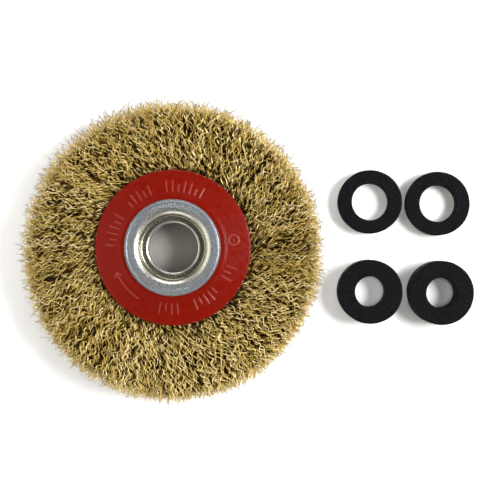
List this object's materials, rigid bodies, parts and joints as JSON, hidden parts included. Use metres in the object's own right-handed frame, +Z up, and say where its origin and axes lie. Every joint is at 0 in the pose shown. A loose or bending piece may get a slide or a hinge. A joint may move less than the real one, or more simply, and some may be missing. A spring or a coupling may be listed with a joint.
{
  "type": "bench grinder wire wheel",
  "caption": "Round crimped wire wheel brush with red side plates and a recessed hub, lying flat beside loose round reducing bushes for its bore; runs on a bench grinder's spindle.",
  "frame": {"origin": "on the bench, under the middle of the whole layout of wheel and bushes", "axes": "+Z up along the wheel's axis, +X from the wheel towards the bushes, +Y towards the wider-bored bushes"},
  "size_m": [0.23, 0.152, 0.025],
  "materials": {
    "brass_wire": "satin",
    "plain_steel": "satin",
    "red_paint": "satin",
    "zinc_plate": "satin",
    "bright_steel": "polished",
    "black_moulding": "matte"
  },
  "bodies": {
    "wheel": {"wire_bundle_01": "brass_wire", "wire_bundle_02": "brass_wire", "wire_bundle_03": "brass_wire", "wire_bundle_04": "brass_wire", "wire_bundle_05": "brass_wire", "wire_bundle_06": "brass_wire", "wire_bundle_07": "brass_wire", "wire_bundle_08": "brass_wire", "wire_bundle_09": "brass_wire", "wire_bundle_10": "brass_wire", "wire_bundle_11": "brass_wire", "wire_bundle_12": "brass_wire", "keeper_ring": "plain_steel", "core_spacer": "plain_steel", "front_side_plate": "red_paint", "back_side_plate": "red_paint", "front_hub_cup": "zinc_plate", "back_hub_cup": "zinc_plate", "arbor_sleeve": "bright_steel"},
    "loose_bush_19mm_a": {"bush_19mm_a": "black_moulding"},
    "loose_bush_19mm_b": {"bush_19mm_b": "black_moulding"},
    "loose_bush_16mm_a": {"bush_16mm_a": "black_moulding"},
    "loose_bush_16mm_b": {"bush_16mm_b": "black_moulding"}
  },
  "joints": [
    {"name": "bush_19mm_a_lift", "type": "slide", "parent": "wheel", "child": "loose_bush_19mm_a", "axis": [0, 0, 1], "range_m": [0, 0.06]},
    {"name": "bush_19mm_b_lift", "type": "slide", "parent": "wheel", "child": "loose_bush_19mm_b", "axis": [0, 0, 1], "range_m": [0, 0.06]},
    {"name": "bush_16mm_a_lift", "type": "slide", "parent": "wheel", "child": "loose_bush_16mm_a", "axis": [0, 0, 1], "range_m": [0, 0.06]},
    {"name": "bush_16mm_b_lift", "type": "slide", "parent": "wheel", "child": "loose_bush_16mm_b", "axis": [0, 0, 1], "range_m": [0, 0.06]}
  ]
}
